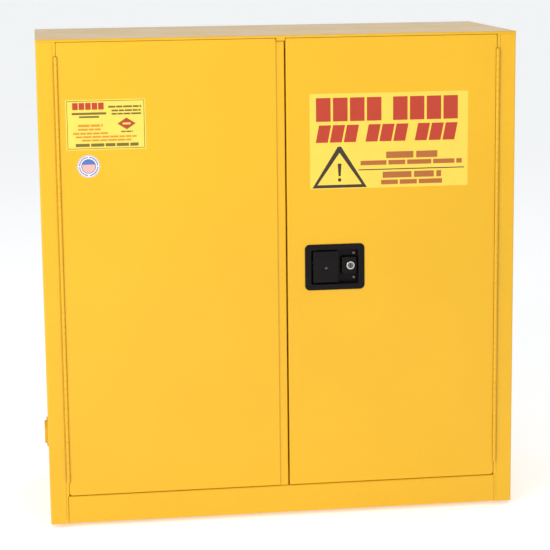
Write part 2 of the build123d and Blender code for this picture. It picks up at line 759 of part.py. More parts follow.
def make_upper_rod():
    with BuildPart() as rod:
        bar((UPPER_ROD_X, ROD_Y, CAM_Z + 14), (0, 0, 1), ROD_R, ROD_TOP - CAM_Z - 14)
        chamfer(edges().filter_by(GeomType.CIRCLE).sort_by(Axis.Z)[-1], 2)
        foot_plate(CAM_X + 6.5, UPPER_ROD_X + 6.5, CAM_Z - 8, CAM_Z + 20)
        cam_slot(UPPER_ROD_X, -SIDE_SWING)
    return rod


def make_lower_rod():
    with BuildPart() as rod:
        bar((LOWER_ROD_X, ROD_Y, ROD_FOOT), (0, 0, 1), ROD_R, CAM_Z - 14 - ROD_FOOT)
        chamfer(edges().filter_by(GeomType.CIRCLE).sort_by(Axis.Z)[0], 2)
        foot_plate(LOWER_ROD_X - 5.8, CAM_X - 6.5, CAM_Z - 20, CAM_Z + 8)
        cam_slot(LOWER_ROD_X, SIDE_SWING)
    return rod


def make_centre_bolt():
    half = CAM_PIN_R + PIN_PLAY
    low = CENTRE_BOLT_Z - 7
    with BuildPart() as bolt:
        foot_plate(RIGHT_FACE_START + 0.9, CAM_X + 5.5, low, CENTRE_BOLT_Z + 7)
        block(
            (CAM_X - half, ROD_Y - 5, low - 1),
            (CAM_X + half, ROD_Y + 5, CENTRE_BOLT_Z + half),
            Mode.SUBTRACT,
        )
    return bolt


def make_rod_guides():
    with BuildPart() as guides:
        for low in (LINER_TOP - 30, CAM_Z + 120):
            guide(UPPER_ROD_X, low, 18)
        for low in (LINER_BOTTOM + 12, CAM_Z - 140):
            guide(LOWER_ROD_X, low, 18)
        left = RIGHT_FACE_START + 2.7
        block((left, ROD_Y - 5, CENTRE_BOLT_Z - 9.4), (left + 4, LINER_INNER, CENTRE_BOLT_Z + 11))
        block(
            (left - 1, ROD_Y - FOOT_PLATE / 2 - 0.3, CENTRE_BOLT_Z - 7.3),
            (left + 6, ROD_Y + FOOT_PLATE / 2 + 0.3, CENTRE_BOLT_Z + 7.3),
            Mode.SUBTRACT,
        )
    return guides


# --- Labels --------------------------------------------------------------------------------------


def make_label(left, low, wide, high):
    with BuildPart() as label:
        with BuildSketch(Plane.XZ.offset(-FRONT)):
            with Locations((left + wide / 2, low + high / 2)):
                RectangleRounded(wide, high, 3)
        extrude(amount=LABEL)
    return label


def make_sticker():
    x, z, radius = STICKER
    with BuildPart() as sticker:
        bar((x, FRONT, z), FORWARD, radius, LABEL)
    return sticker


# --- Shelf ---------------------------------------------------------------------------------------


def make_shelf():
    """Shelf with all four edges folded down."""
    with BuildPart() as shelf:
        block((-SHELF_X, SHELF_FRONT, SHELF_TOP - SHELF_LIP), (SHELF_X, INSIDE_BACK - 3, SHELF_TOP))
        fillet(edges().filter_by(Axis.Z), 4)
        fillet(faces().sort_by(Axis.Z)[-1].edges(), 2.4)
        offset(amount=-SHEET, openings=faces().sort_by(Axis.Z)[0])
    return shelf


def make_standards():
    """Slotted strips that the shelf clips hook into."""
    thick, wide = STANDARD
    middle = (STANDARD_LOW + STANDARD_HIGH) / 2
    rows = int((STANDARD_HIGH - STANDARD_LOW) / SLOT_PITCH)
    with BuildPart() as standards:
        with Locations((0, 0, middle)):
            with GridLocations(2 * INSIDE_X - thick, 2 * STANDARD_Y, 2, 2):
                Box(thick, wide, STANDARD_HIGH - STANDARD_LOW)
        for i in range(rows):
            with Locations((0, 0, STANDARD_LOW + 28 + i * SLOT_PITCH)):
                with GridLocations(2 * INSIDE_X - thick, 2 * STANDARD_Y, 2, 2):
                    Box(2 * thick, 9, 4, mode=Mode.SUBTRACT)
    return standards


def make_clips():
    """Shelf clips: a ledge under the shelf and a back that lies on the standard."""
    low = SHELF_TOP - SHELF_LIP
    thick = STANDARD[0]
    near = INSIDE_X - thick
    with BuildPart() as clips:
        for side in (-1, 1):
            for y in (-STANDARD_Y, STANDARD_Y):
                inner, outer = sorted((side * (near - 16), side * near))
                block((inner, y - 9, low - 2.5), (outer, y + 9, low))
                inner, outer = sorted((side * (near - 1.8), side * near))
                block((inner, y - 9, low - 30), (outer, y + 9, low))
    return clips


# --- Vents, feet and ground stud -----------------------------------------------------------------


def make_vent_pipes():
    """Threaded sleeves through both walls, with an outside flange."""
    with BuildPart() as pipes:
        for x, z, inward in ((-SIDE, VENT_LOW, 1), (SIDE, VENT_HIGH, -1)):
            bar((x, 0, z), (inward, 0, 0), PIPE_R, WALL + 6)
            bar((x, 0, z), (-inward, 0, 0), VENT_FLANGE_R, VENT_FLANGE)
            bar((x - 10 * inward, 0, z), (inward, 0, 0), PIPE_BORE, 80, Mode.SUBTRACT)
    return pipes


def make_arresters():
    """Flame arresters: thick perforated discs at the inner end of the sleeves."""
    with BuildPart() as arresters:
        for x, z, inward in ((-SIDE, VENT_LOW, 1), (SIDE, VENT_HIGH, -1)):
            start = (x + 26 * inward, 0, z)
            bar(start, (inward, 0, 0), PIPE_BORE, 12)
            with Locations(Plane(start, z_dir=(inward, 0, 0)).offset(6).location):
                with HexLocations(5, 5, 5):
                    Cylinder(3.2, 20, mode=Mode.SUBTRACT)
    return arresters


def make_vent_cap(x, z, inward):
    """Screw-in cap with a square driving socket."""
    seat = x - inward * VENT_FLANGE
    with BuildPart() as cap:
        bar((seat, 0, z), (-inward, 0, 0), CAP_R, CAP_HEAD)
        fillet(faces().sort_by(Axis.X)[0 if inward > 0 else -1].edges(), 1.2)
        bar((seat, 0, z), (inward, 0, 0), PIPE_BORE - 0.3, 15)
        bar((seat + 1.5 * inward, 0, z), (inward, 0, 0), PIPE_BORE - 4, 20, Mode.SUBTRACT)
        with Locations((seat - inward * CAP_HEAD, 0, z)):
            Box(6, 20, 20, mode=Mode.SUBTRACT)
    return cap


def make_foot(x, y):
    """Levelling foot: pad and threaded stud, screwed all the way in."""
    low = FOOT_LIFT
    with BuildPart() as foot:
        bar((x, y, low), (0, 0, 1), FOOT_R, FOOT_PAD)
        fillet(faces().sort_by(Axis.Z)[0].edges(), 1.5)
        bar((x, y, low + FOOT_PAD), (0, 0, 1), FOOT_STUD_R, FOOT_STUD_TOP - low - FOOT_PAD)
        chamfer(faces().sort_by(Axis.Z)[-1].edges(), 1)
    return foot


def make_foot_nuts():
    with BuildPart() as nuts:
        with BuildSketch(Plane.XY.offset(OUTER_BOTTOM_TOP)):
            with GridLocations(2 * FOOT_X, 2 * FOOT_Y, 2, 2):
                RegularPolygon(8.2, 6)
                Circle(FOOT_STUD_R + PIN_FIT, mode=Mode.SUBTRACT)
        extrude(amount=8)
    return nuts


def make_ground_stud():
    """Welded stud for a ground wire, low on the right side."""
    with BuildPart() as stud:
        bar((SIDE - SHEET - 3, STUD_Y, STUD_Z), (1, 0, 0), 7, 3)
        bar((SIDE - SHEET, STUD_Y, STUD_Z), (1, 0, 0), STUD_SHOULDER_R, SHEET + STUD_NUT)
        bar((SIDE + STUD_NUT, STUD_Y, STUD_Z), (1, 0, 0), STUD_R, STUD_FREE)
    return stud


def make_ground_nut():
    with BuildPart() as nut:
        with BuildSketch(Plane.YZ.offset(SIDE)):
            with Locations((STUD_Y, STUD_Z)):
                RegularPolygon(6.4, 6)
                Circle(STUD_HOLE_R, mode=Mode.SUBTRACT)
        extrude(amount=STUD_NUT)
    return nut


def stud_hole(side):
    """The right side skin, drilled for the ground stud."""
    with BuildPart() as drilled:
        add(side.part)
        bar((SIDE - 5, STUD_Y, STUD_Z), (1, 0, 0), STUD_HOLE_R, 10, Mode.SUBTRACT)
    return drilled


outer_side = make_outer_side()
jamb = make_jamb()
frame_leaf = make_hinge_leaf(-LEAF_SETBACK, 0)
door_leaf = make_hinge_leaf(LEAF_SETBACK - LEAF, 1)

pieces = {
    "outer_side_left": drill_sides(outer_side, VENT_LOW),
    "outer_side_right": stud_hole(mirrored(drill_sides(outer_side, VENT_HIGH))),
    "outer_back": make_outer_back(),
    "outer_top": make_outer_top(),
    "outer_bottom": make_outer_bottom(),
    "inner_side_left": make_inner_side(VENT_LOW),
    "inner_side_right": mirrored(make_inner_side(VENT_HIGH)),
    "inner_back": make_inner_back(),
    "inner_top": make_inner_plate(INSIDE_TOP),
    "inner_floor": make_inner_plate(FLOOR_TOP - SHEET),
    "wall_spacers": make_wall_spacers(),
    "header_channel": make_header(),
    "door_sill": make_sill(),
    "jamb_left": jamb,
    "jamb_right": mirrored(jamb),
    "frame_hinge_leaf_left": frame_leaf,
    "frame_hinge_leaf_right": mirrored(frame_leaf),
    "hinge_pins": make_hinge_pins(),
    "shelf_standards": make_standards(),
    "shelf_clips": make_clips(),
    "vent_pipes": make_vent_pipes(),
    "flame_arresters": make_arresters(),
    "foot_nuts": make_foot_nuts(),
    "ground_stud": make_ground_stud(),
    "ground_nut": make_ground_nut(),
    "left_door_skin": make_left_skin(),
    "left_door_liner": make_left_liner(),
    "astragal_strip": make_astragal(),
    "left_door_hinge_leaf": door_leaf,
    "left_bolt_guides": make_left_guides(),
    "left_upper_bolt": make_left_bolt(True),
    "left_lower_bolt": make_left_bolt(False),
    "rating_label": make_label(*RATING),
    "round_sticker": make_sticker(),
    "right_door_skin": make_right_skin(),
    "right_door_liner": make_right_liner(),
    "right_door_hinge_leaf": mirrored(door_leaf),
    "latch_housing": make_latch_housing(),
    "housing_rivets": make_rivets(),
    "paddle": make_paddle(),
    "paddle_pin": make_paddle_pin(),
    "paddle_spring": make_paddle_spring(),
    "lock_barrel": make_lock_barrel(),
    "lock_plug": make_lock_plug(),
    "latch_cam": make_cam(),
    "cam_pivot": make_cam_pivot(),
    "upper_rod": make_upper_rod(),
    "lower_rod": make_lower_rod(),
    "centre_bolt": make_centre_bolt(),
    "rod_guides": make_rod_guides(),
    "warning_label": make_label(*WARNING),
    "shelf": make_shelf(),
    "vent_cap_left": make_vent_cap(-SIDE, VENT_LOW, 1),
    "vent_cap_right": make_vent_cap(SIDE, VENT_HIGH, -1),
    "foot_front_left": make_foot(-FOOT_X, -FOOT_Y),
    "foot_front_right": make_foot(FOOT_X, -FOOT_Y),
    "foot_rear_left": make_foot(-FOOT_X, FOOT_Y),
    "foot_rear_right": make_foot(FOOT_X, FOOT_Y),
}

os.makedirs("parts", exist_ok=True)
for name, piece in pieces.items():
    piece.part.label = name
    export_step(piece.part, f"parts/{name}.step")
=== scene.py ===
import json
import math
import random

import bmesh
import bpy
from mathutils import Matrix, Vector


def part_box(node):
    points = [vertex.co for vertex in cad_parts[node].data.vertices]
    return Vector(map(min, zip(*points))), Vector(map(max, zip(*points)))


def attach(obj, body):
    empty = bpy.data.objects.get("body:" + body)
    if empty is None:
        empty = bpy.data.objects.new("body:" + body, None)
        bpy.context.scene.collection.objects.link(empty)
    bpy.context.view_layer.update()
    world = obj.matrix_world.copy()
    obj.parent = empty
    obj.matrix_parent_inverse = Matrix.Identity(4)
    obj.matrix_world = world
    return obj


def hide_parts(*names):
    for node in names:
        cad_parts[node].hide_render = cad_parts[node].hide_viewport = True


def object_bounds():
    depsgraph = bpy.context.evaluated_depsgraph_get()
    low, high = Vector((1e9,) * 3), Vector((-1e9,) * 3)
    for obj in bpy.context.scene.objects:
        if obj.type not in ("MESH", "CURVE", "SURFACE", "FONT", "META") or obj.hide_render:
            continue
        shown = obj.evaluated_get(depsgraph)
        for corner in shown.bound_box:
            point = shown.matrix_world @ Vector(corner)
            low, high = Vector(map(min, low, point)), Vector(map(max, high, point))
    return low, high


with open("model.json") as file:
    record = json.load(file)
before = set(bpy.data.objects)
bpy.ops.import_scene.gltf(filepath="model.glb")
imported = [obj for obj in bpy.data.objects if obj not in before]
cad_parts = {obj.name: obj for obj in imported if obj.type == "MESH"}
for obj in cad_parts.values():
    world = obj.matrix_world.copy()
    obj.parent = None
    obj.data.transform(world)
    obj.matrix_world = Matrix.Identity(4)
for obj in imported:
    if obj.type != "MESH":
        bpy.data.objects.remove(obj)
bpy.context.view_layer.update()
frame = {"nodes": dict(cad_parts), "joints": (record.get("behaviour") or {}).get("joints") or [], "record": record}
nodes = frame["nodes"]
MM = 0.001


# --- Camera and light ------------------------------------------------------------------------------

# Where the photographer stood, in metres and radians, in the cabinet's own frame
CAMERA_AT = (-0.5482, -4.2464, 1.3508)
CAMERA_YAW = -0.1316
CAMERA_PITCH = -0.1720
CAMERA_ROLL = -0.0114
CAMERA_LENS = 117.52
CAMERA_SHIFT_Y = -0.06
CAMERA_REACH = 60


def make_camera():
    look = Vector((
        -math.sin(CAMERA_YAW) * math.cos(CAMERA_PITCH),
        math.cos(CAMERA_YAW) * math.cos(CAMERA_PITCH),
        math.sin(CAMERA_PITCH),
    ))
    level = Vector((math.cos(CAMERA_YAW), math.sin(CAMERA_YAW), 0))
    upright = level.cross(look)
    right = level * math.cos(CAMERA_ROLL) + upright * math.sin(CAMERA_ROLL)
    up = upright * math.cos(CAMERA_ROLL) - level * math.sin(CAMERA_ROLL)
    data = bpy.data.cameras.new("camera")
    data.lens = CAMERA_LENS
    data.shift_y = CAMERA_SHIFT_Y
    data.clip_end = CAMERA_REACH
    camera = bpy.data.objects.new("camera", data)
    turn = Matrix((right, up, -look)).transposed()
    camera.matrix_world = Matrix.Translation(CAMERA_AT) @ turn.to_4x4()
    bpy.context.scene.collection.objects.link(camera)
    bpy.context.scene.camera = camera


# Each light's name, place, target, width and height in metres, power in watts, and colour
LIGHTS = (
    ("key", (-2.4, -2.9, 2.0), (0, 0, 0.55), (2.2, 2.0), 88, (1.0, 0.98, 0.95)),
    ("strip", (3.3, -2.4, 1.1), (0, 0, 0.55), (0.3, 1.8), 5, (1, 1, 1)),
    ("overhead", (0.5, -1.5, 3.6), (0, -0.2, 0.6), (1.2, 0.6), 16, (1, 1, 1)),
    ("back", (0.4, 2.6, 3.8), (0, 0, 0.6), (2.4, 2.0), 12, (1, 1, 1)),
)


def area_light(name, at, aim, size, power, colour):
    data = bpy.data.lights.new(name, "AREA")
    data.shape = "RECTANGLE"
    data.size, data.size_y = size
    data.energy = power
    data.color = colour
    light = bpy.data.objects.new(name, data)
    light.location = at
    light.rotation_euler = (Vector(aim) - Vector(at)).to_track_quat("-Z", "Y").to_euler()
    bpy.context.scene.collection.objects.link(light)


# Brightness and tint of the surround at rising heights: the sine of the angle above the horizon
SURROUND = (
    (0.03, (0.76, 0.90, 1.0, 1)),
    (0.24, (0.76, 0.88, 1.0, 1)),
    (0.42, (0.60, 0.595, 0.585, 1)),
    (0.85, (0.42, 0.415, 0.41, 1)),
)


def make_world():
    """Soft studio surround: a pale cyclorama at the horizon, dimmer overhead."""
    world = bpy.data.worlds.new("studio")
    world.use_nodes = True
    tree = world.node_tree
    place = tree.nodes.new("ShaderNodeTexCoord").outputs["Generated"]
    split = tree.nodes.new("ShaderNodeSeparateXYZ")
    tree.links.new(place, split.inputs[0])
    bands = tree.nodes.new("ShaderNodeValToRGB")
    tree.links.new(split.outputs["Z"], bands.inputs["Fac"])
    stops = bands.color_ramp.elements
    while len(stops) < len(SURROUND):
        stops.new(0.5)
    for stop, (height, tint) in zip(stops, SURROUND):
        stop.position = height
        stop.color = tint
    tree.links.new(bands.outputs["Color"], tree.nodes["Background"].inputs["Color"])
    bpy.context.scene.world = world


def make_lights():
    make_world()
    bpy.context.scene.view_settings.view_transform = "Standard"
    for light in LIGHTS:
        area_light(*light)


# --- Node helpers ----------------------------------------------------------------------------------


class Shader:
    """A material under construction: a Principled shader and short ways to add nodes to it."""

    def __init__(self, name):
        self.material = bpy.data.materials.new(name)
        self.material.use_nodes = True
        self.tree = self.material.node_tree
        self.surface = self.tree.nodes["Principled BSDF"]
        self.place = self.tree.nodes.new("ShaderNodeTexCoord").outputs["Object"]

    def link(self, value, socket):
        if isinstance(value, bpy.types.NodeSocket):
            self.tree.links.new(value, socket)
        else:
            socket.default_value = value

    def stretched(self, scale):
        """The object's coordinates, scaled differently along each axis."""
        node = self.tree.nodes.new("ShaderNodeMapping")
        self.tree.links.new(self.place, node.inputs["Vector"])
        node.inputs["Scale"].default_value = scale
        return node.outputs["Vector"]

    def near(self, centre, reach):
        """0 at the centre and 1 at the reach, which is given for each axis."""
        node = self.tree.nodes.new("ShaderNodeMapping")
        self.tree.links.new(self.place, node.inputs["Vector"])
        node.inputs["Scale"].default_value = [1 / r for r in reach]
        node.inputs["Location"].default_value = [-c / r for c, r in zip(centre, reach)]
        length = self.tree.nodes.new("ShaderNodeVectorMath")
        length.operation = "LENGTH"
        self.tree.links.new(node.outputs["Vector"], length.inputs[0])
        return length.outputs["Value"]

    def noise(self, scale, detail=3, rough=0.55, place=None):
        node = self.tree.nodes.new("ShaderNodeTexNoise")
        self.tree.links.new(place or self.place, node.inputs["Vector"])
        node.inputs["Scale"].default_value = scale
        node.inputs["Detail"].default_value = detail
        node.inputs["Roughness"].default_value = rough
        return node.outputs["Fac"]

    def cells(self, scale):
        node = self.tree.nodes.new("ShaderNodeTexVoronoi")
        self.tree.links.new(self.place, node.inputs["Vector"])
        node.inputs["Scale"].default_value = scale
        return node

    def ramp(self, value, low, high, start, end):
        """Maps value from low..high to start..end, held at the ends."""
        node = self.tree.nodes.new("ShaderNodeMapRange")
        self.link(value, node.inputs["Value"])
        node.inputs["From Min"].default_value = low
        node.inputs["From Max"].default_value = high
        node.inputs["To Min"].default_value = start
        node.inputs["To Max"].default_value = end
        return node.outputs["Result"]

    def maths(self, operation, a, b):
        node = self.tree.nodes.new("ShaderNodeMath")
        node.operation = operation
        self.link(a, node.inputs[0])
        self.link(b, node.inputs[1])
        return node.outputs[0]

    def mix(self, share, a, b):
        node = self.tree.nodes.new("ShaderNodeMix")
        node.data_type = "RGBA"
        self.link(share, node.inputs[0])
        self.link(a, node.inputs[6])
        self.link(b, node.inputs[7])
        return node.outputs[2]

    def edges(self):
        """High on convex edges, from the mesh's own curvature."""
        return self.tree.nodes.new("ShaderNodeNewGeometry").outputs["Pointiness"]

    def bump(self, height, strength, distance, under=None):
        node = self.tree.nodes.new("ShaderNodeBump")
        node.inputs["Strength"].default_value = strength
        node.inputs["Distance"].default_value = distance
        self.tree.links.new(height, node.inputs["Height"])
        if under:
            self.tree.links.new(under, node.inputs["Normal"])
        return node.outputs["Normal"]

    def finish(self, colour, roughness, normal=None, metallic=0.0, **plain):
        self.link(colour, self.surface.inputs["Base Color"])
        self.link(roughness, self.surface.inputs["Roughness"])
        self.surface.inputs["Metallic"].default_value = metallic
        if normal:
            self.tree.links.new(normal, self.surface.inputs["Normal"])
        for socket, value in plain.items():
            self.surface.inputs[socket.replace("_", " ")].default_value = value
        return self.material


def shade(colour, factor):
    return tuple(min(1.0, c * factor) for c in colour[:3]) + (1,)


# --- Materials -------------------------------------------------------------------------------------

# Colours are linear. Noise scales are in features per metre, and bump distances in metres.
YELLOW = (0.735, 0.400, 0.009, 1)
YELLOW_WORN = (0.56, 0.27, 0.03, 1)
LABEL_GLOSS = 0.3
PADDLE_DENT = (0.51, 0.46)  # middle of the finger dent, as shares of the paddle's width and height
DENT_HIGHLIGHT = (4.6 * MM, 4.0 * MM, 3.2 * MM)  # how far the painted highlight in the dent reaches along each axis


def enamel(name, colour):
    """Sprayed gloss enamel: slow changes of tone, orange peel, faint handling marks, rubbed edges."""
    s = Shader(name)
    tone = s.mix(s.ramp(s.noise(2.3), 0.3, 0.7, 0, 1), shade(colour, 0.965), shade(colour, 1.03))
    flecks = s.ramp(s.noise(420, 2), 0.42, 0.6, 0, 0.035)
    speckled = s.mix(flecks, tone, shade(colour, 0.8))
    patches = s.ramp(s.noise(60, 4), 0.58, 0.75, 0, 0.16)
    chips = s.maths("MULTIPLY", s.ramp(s.edges(), 0.53, 0.6, 0, 1), patches)
    rubbed = s.mix(chips, speckled, YELLOW_WORN)
    smears = s.noise(1, 4, 0.6, s.stretched((9, 9, 2.5)))
    roughness = s.ramp(smears, 0.3, 0.75, 0.30, 0.42)
    waves = s.bump(s.noise(28, 2), 0.06, 0.0015)
    peel = s.bump(s.noise(520, 1), 0.10, 0.00018, waves)
    return s.finish(rubbed, roughness, peel, Coat_Weight=0.16, Coat_Roughness=0.10, Specular_IOR_Level=0.33)


def black_paint(name, highlight_spot=None):
    """Textured black powder coat with dust in its grain and a few grey scuffs.

    The last argument, a centre and a reach, places a painted highlight: a grey patch that stands for a glint.
    """
    s = Shader(name)
    tone = s.mix(s.noise(35, 4), (0.0040, 0.0030, 0.0032, 1), (0.0078, 0.0060, 0.0062, 1))
    dust = s.mix(s.ramp(s.noise(300, 3), 0.58, 0.72, 0, 0.14), tone, (0.04, 0.034, 0.032, 1))
    scuffs = s.ramp(s.noise(1, 5, 0.7, s.stretched((260, 260, 60))), 0.66, 0.78, 0, 0.22)
    coat_colour = s.mix(scuffs, dust, (0.13, 0.125, 0.12, 1))
    if highlight_spot:
        # painted highlight: a grey patch round the given spot that stands for a glint
        coat_colour = s.mix(s.ramp(s.near(*highlight_spot), 0.35, 1.0, 0.85, 0), coat_colour, (0.24, 0.225, 0.215, 1))
    roughness = s.ramp(s.noise(90, 3), 0.3, 0.7, 0.24, 0.36)
    grain = s.bump(s.cells(1500).outputs["Distance"], 0.3, 0.00012)
    return s.finish(coat_colour, roughness, grain, Specular_IOR_Level=0.11)


def plated(name, colour, dull):
    """Zinc-plated or drawn steel: fine drawing lines, cloudy passivation and small stains."""
    s = Shader(name)
    clouds = s.mix(s.noise(45, 4), shade(colour, 0.8), shade(colour, 1.1))
    stains = s.mix(s.ramp(s.noise(160, 5), 0.62, 0.78, 0, 0.45), clouds, (0.33, 0.29, 0.22, 1))
    lines = s.noise(1, 3, 0.6, s.stretched((60, 60, 900)))
    roughness = s.ramp(lines, 0.3, 0.7, dull - 0.07, dull + 0.1)
    return s.finish(stains, roughness, s.bump(lines, 0.18, 0.0001), metallic=1.0)


def galvanised():
    """Hot-dipped sheet with its spangle."""
    s = Shader("galvanised_sheet")
    cells = s.cells(75)
    spangle = s.mix(s.ramp(cells.outputs["Color"], 0, 1, 0, 1), (0.47, 0.49, 0.5, 1), (0.67, 0.69, 0.7, 1))
    scratches = s.noise(1, 3, 0.7, s.stretched((5, 240, 5)))
    marked = s.mix(s.ramp(scratches, 0.6, 0.72, 0, 0.4), spangle, (0.78, 0.79, 0.8, 1))
    roughness = s.ramp(s.noise(30, 4), 0.3, 0.7, 0.36, 0.52)
    return s.finish(marked, roughness, s.bump(cells.outputs["Distance"], 0.08, 0.0002), metallic=0.9)


def chrome():
    s = Shader("chrome_plate")
    haze = s.mix(s.noise(120, 3), (0.58, 0.56, 0.53, 1), (0.74, 0.72, 0.68, 1))
    scratches = s.noise(1, 4, 0.7, s.stretched((500, 500, 60)))
    roughness = s.ramp(scratches, 0.35, 0.75, 0.08, 0.24)
    return s.finish(haze, roughness, s.bump(scratches, 0.08, 0.00005), metallic=1.0)


def brass():
    s = Shader("turned_brass")
    tarnish = s.mix(s.ramp(s.noise(180, 5), 0.45, 0.7, 0, 0.7), (0.72, 0.52, 0.2, 1), (0.32, 0.2, 0.08, 1))
    rings = s.noise(1, 2, 0.5, s.stretched((1500, 60, 60)))
    roughness = s.ramp(rings, 0.3, 0.7, 0.25, 0.42)
    return s.finish(tarnish, roughness, s.bump(rings, 0.15, 0.00006), metallic=1.0)


def arrester_metal():
    s = Shader("arrester_mesh")
    tone = s.mix(s.noise(140, 4), (0.34, 0.34, 0.35, 1), (0.55, 0.55, 0.56, 1))
    weave = s.cells(1300).outputs["Distance"]
    return s.finish(tone, s.ramp(weave, 0, 0.6, 0.5, 0.35), s.bump(weave, 0.5, 0.0003), metallic=0.85)


def nylon():
    s = Shader("moulded_nylon")
    tone = s.mix(s.noise(60, 3), (0.74, 0.73, 0.68, 1), (0.84, 0.83, 0.79, 1))
    grime = s.mix(s.ramp(s.noise(220, 5), 0.6, 0.75, 0, 0.35), tone, (0.32, 0.3, 0.26, 1))
    roughness = s.ramp(s.noise(70, 3), 0.3, 0.7, 0.42, 0.56)
    return s.finish(grime, roughness, s.bump(s.noise(700, 2), 0.1, 0.0001))


def vinyl(name, colour):
    """Printed label stock: even ink with a slight mottle and a soft orange peel from the film."""
    s = Shader(name)
    mottle = s.mix(s.ramp(s.noise(26, 4), 0.3, 0.7, 0, 1), shade(colour, 0.965), shade(colour, 1.03))
    dots = s.mix(s.ramp(s.noise(900, 1), 0.5, 0.62, 0, 0.06), mottle, shade(colour, 0.75))
    roughness = s.ramp(s.noise(15, 3), 0.3, 0.7, LABEL_GLOSS, LABEL_GLOSS + 0.12)
    film = s.bump(s.noise(130, 3), 0.05, 0.0003)
    return s.finish(dots, roughness, film, Specular_IOR_Level=0.45)


def weld_bead_paint():
    """Enamel over a weld bead: the same paint with a coarser, rippled surface."""
    s = Shader("painted_weld")
    tone = s.mix(s.noise(60, 3), shade(YELLOW, 0.86), YELLOW)
    ripples = s.bump(s.noise(330, 3), 0.5, 0.0008)
    roughness = s.ramp(s.noise(90, 2), 0.3, 0.7, 0.34, 0.48)
    return s.finish(tone, roughness, ripples, Coat_Weight=0.25, Coat_Roughness=0.2)


# --- Mesh helpers ----------------------------------------------------------------------------------


def new_piece(name, mesh, body, materials, replaced=()):
    """A finished piece: its materials, the body it rides on, and the nodes it stands for."""
    piece = bpy.data.objects.new(name, mesh)
    bpy.context.scene.collection.objects.link(piece)
    for material in materials:
        mesh.materials.append(material)
    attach(piece, body)
    if replaced:
        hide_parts(*replaced)


def mesh_of(name, build, smooth=True):
    """Runs build on an empty bmesh and returns the mesh."""
    bm = bmesh.new()
    build(bm)
    bmesh.ops.recalc_face_normals(bm, faces=bm.faces)
    mesh = bpy.data.meshes.new(name)
    bm.to_mesh(mesh)
    bm.free()
    if smooth:
        mesh.polygons.foreach_set("use_smooth", [True] * len(mesh.polygons))
    return mesh


def frame_of(axis):
    """Two directions square to axis, and axis itself."""
    w = Vector(axis).normalized()
    side = Vector((0, 0, 1)) if abs(w.z) < 0.9 else Vector((1, 0, 0))
    u = w.cross(side).normalized()
    return u, w.cross(u), w


def add_lathe(bm, start, axis, profile, steps):
    """Turned shape. The profile is a list of (distance along the axis, radius)."""
    u, v, w = frame_of(axis)
    rings = []
    for along, radius in profile:
        centre = Vector(start) + w * along
        if radius == 0:
            rings.append([bm.verts.new(centre)])
            continue
        turn = [2 * math.pi * i / steps for i in range(steps)]
        rings.append([bm.verts.new(centre + (u * math.cos(a) + v * math.sin(a)) * radius) for a in turn])
    for below, above in zip(rings, rings[1:]):
        for i in range(steps):
            j = (i + 1) % steps
            corners = [ring[k % len(ring)] for ring, k in ((below, i), (below, j), (above, j), (above, i))]
            corners = list(dict.fromkeys(corners))
            if len(corners) > 2:
                bm.faces.new(corners)


def add_tube(bm, points, radii, steps=8):
    """Round bar along a list of points, capped at both ends."""
    rings = []
    side = None
    for i, point in enumerate(points):
        ahead = points[min(i + 1, len(points) - 1)]
        behind = points[max(i - 1, 0)]
        along = (ahead - behind).normalized()
        if side is None:
            side = frame_of(along)[0]
        side = (side - along * side.dot(along)).normalized()
        other = along.cross(side)
        turn = [2 * math.pi * k / steps for k in range(steps)]
        rim = [(side * math.cos(a) + other * math.sin(a)) * radii[i] for a in turn]
        rings.append([bm.verts.new(point + spoke) for spoke in rim])
    for below, above in zip(rings, rings[1:]):
        for i in range(steps):
            j = (i + 1) % steps
            bm.faces.new((below[i], below[j], above[j], above[i]))
    bm.faces.new(rings[0])
    bm.faces.new(rings[-1])


def add_plate(bm, outline, near, far, material=0):
    """Thin plate in the XZ plane between two values of Y. Outline is a list of (x, z)."""
    front = [bm.verts.new((x, near, z)) for x, z in outline]
    back = [bm.verts.new((x, far, z)) for x, z in outline]
    faces = [bm.faces.new(front), bm.faces.new(back)]
    for i in range(len(outline)):
        j = (i + 1) % len(outline)
        faces.append(bm.faces.new((front[i], front[j], back[j], back[i])))
    for face in faces:
        face.material_index = material


def rounded(left, low, right, high, radius):
    """Outline of a rectangle with rounded corners."""
    steps = 5
    radius = min(radius, (right - left) / 2, (high - low) / 2)
    corners = [(right - radius, high - radius, 0), (left + radius, high - radius, 90),
               (left + radius, low + radius, 180), (right - radius, low + radius, 270)]
    points = []
    for x, z, start in corners:
        for k in range(steps + 1):
            a = math.radians(start + 90 * k / steps)
            points.append((x + radius * math.cos(a), z + radius * math.sin(a)))
    return points


def disc(x, z, radius, steps=64, start=0, end=360):
    """Outline of a disc, or of a segment of one between two angles."""
    whole = end - start == 360
    count = steps if whole else steps + 1
    angles = [math.radians(start + (end - start) * k / steps) for k in range(count)]
    return [(x + radius * math.cos(a), z + radius * math.sin(a)) for a in angles]


# --- Labels ----------------------------------------------------------------------------------------

INK = 0.06 * MM  # how far the print stands off its label
SUNK = 0.02 * MM  # how far it reaches into the label, so that nothing floats
LAYER = 0.04 * MM  # what each print over another print adds
LETTER = 0.86  # share of a heading's pitch that its block fills
WORD_SPACE = 0.55  # space between a heading's words, in pitches


